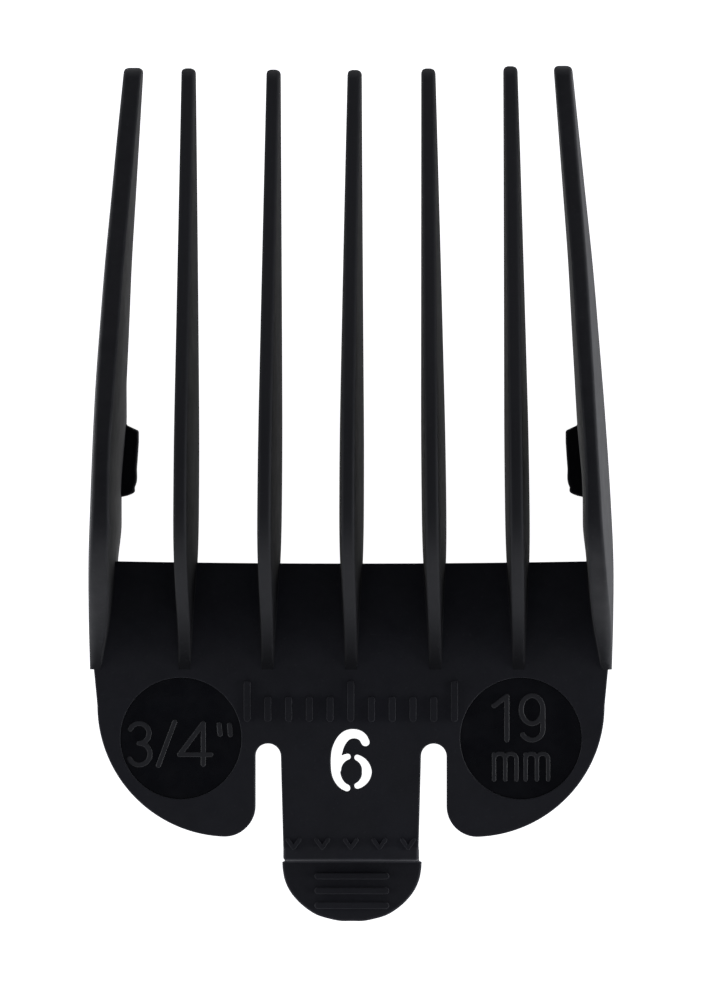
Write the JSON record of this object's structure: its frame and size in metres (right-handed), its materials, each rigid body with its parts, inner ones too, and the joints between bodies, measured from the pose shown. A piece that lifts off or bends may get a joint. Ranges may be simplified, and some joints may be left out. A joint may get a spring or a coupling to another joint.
{
  "type": "clipper guard comb",
  "caption": "Clip-on hair clipper guard comb: tall tapered teeth on a flat plate that seats on the blade, side hooks, and a spring release tab.",
  "frame": {"origin": "centre of the bounding box's underside, on the plane of the hooks' and the thumb flange's undersides", "axes": "+Z towards the skin side (crests of the teeth), +Y towards the tooth tips, +X to the right seen from the skin side with the tips up"},
  "size_m": [0.0532, 0.0866, 0.0217],
  "materials": {
    "body": "fine satin spark texture, black",
    "disc": "polished black",
    "marks": "satin black, smoother than the plate"
  },
  "bodies": {
    "comb": {"base_plate": "body", "inner_tooth_1": "body", "inner_tooth_2": "body", "inner_tooth_3": "body", "inner_tooth_4": "body", "inner_tooth_5": "body", "outer_tooth_left": "body", "outer_tooth_right": "body", "side_wall_left": "body", "side_wall_right": "body", "blade_hook_left": "body", "blade_hook_right": "body", "size_disc_left": "disc", "size_disc_right": "disc", "size_mark_inch": "marks", "size_mark_metric": "marks", "rule_ticks": "marks"},
    "release_tab": {"tab_neck": "body", "tab_wall": "body", "tab_flange": "body", "tab_catch": "body", "tab_arrows": "marks", "flange_ribs": "marks"}
  },
  "joints": [
    {"name": "release_tab_flex", "type": "hinge", "parent": "comb", "child": "release_tab", "pos_m": [0, -0.0275, 0.00545], "axis": [-1, 0, 0], "range_deg": [-4, 14], "stiffness_Nm_per_rad": 0.8}
  ]
}
